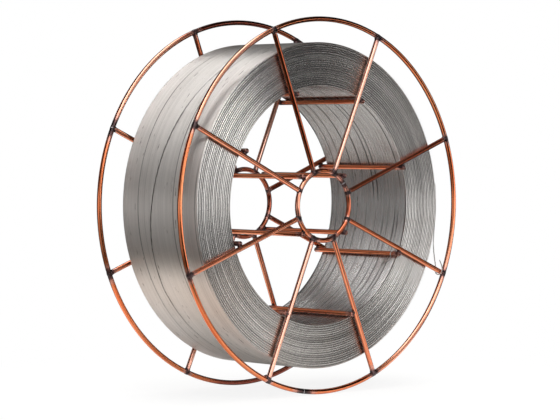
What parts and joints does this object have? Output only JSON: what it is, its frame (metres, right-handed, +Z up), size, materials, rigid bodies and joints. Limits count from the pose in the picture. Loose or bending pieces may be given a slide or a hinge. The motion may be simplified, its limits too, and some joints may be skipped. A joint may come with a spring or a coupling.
{
  "type": "mig welding wire spool",
  "caption": "Wire-basket spool full of stainless MIG welding wire: copper-coated rims, spokes and hub rings round a layer-wound coil.",
  "frame": {"origin": "on the floor, under the middle of the spool as it stands on its two rims", "axes": "+Z up; +Y along the spool's axis, from the front flange, which has the hooked wire end, to the rear one; +X to the right seen from the front"},
  "size_m": [0.2998, 0.1041, 0.2998],
  "materials": {
    "copper_coated_wire": "bright drawn steel wire with a copper coating, heat-tinted dark at its welds",
    "stainless_wire": "bright drawn stainless wire, layer wound, with fine lines round the spool"
  },
  "bodies": {
    "root": {"front_rim": "copper_coated_wire", "rear_rim": "copper_coated_wire", "front_hub_ring": "copper_coated_wire", "rear_hub_ring": "copper_coated_wire", "front_spoke_1": "copper_coated_wire", "front_spoke_2": "copper_coated_wire", "front_spoke_3": "copper_coated_wire", "front_spoke_4": "copper_coated_wire", "front_spoke_5": "copper_coated_wire", "front_spoke_6": "copper_coated_wire", "front_spoke_7": "copper_coated_wire", "front_spoke_8": "copper_coated_wire", "rear_spoke_1": "copper_coated_wire", "rear_spoke_2": "copper_coated_wire", "rear_spoke_3": "copper_coated_wire", "rear_spoke_4": "copper_coated_wire", "rear_spoke_5": "copper_coated_wire", "rear_spoke_6": "copper_coated_wire", "rear_spoke_7": "copper_coated_wire", "rear_spoke_8": "copper_coated_wire", "drum_bar_1": "copper_coated_wire", "drum_bar_2": "copper_coated_wire", "drum_bar_3": "copper_coated_wire", "drum_bar_4": "copper_coated_wire", "drum_bar_5": "copper_coated_wire", "drum_bar_6": "copper_coated_wire", "drum_bar_7": "copper_coated_wire", "drum_bar_8": "copper_coated_wire", "hub_bar_1": "copper_coated_wire", "hub_bar_2": "copper_coated_wire", "hub_bar_3": "copper_coated_wire", "hub_bar_4": "copper_coated_wire", "wire_winding": "stainless_wire", "wire_end": "stainless_wire", "wire_start": "stainless_wire"}
  },
  "joints": []
}
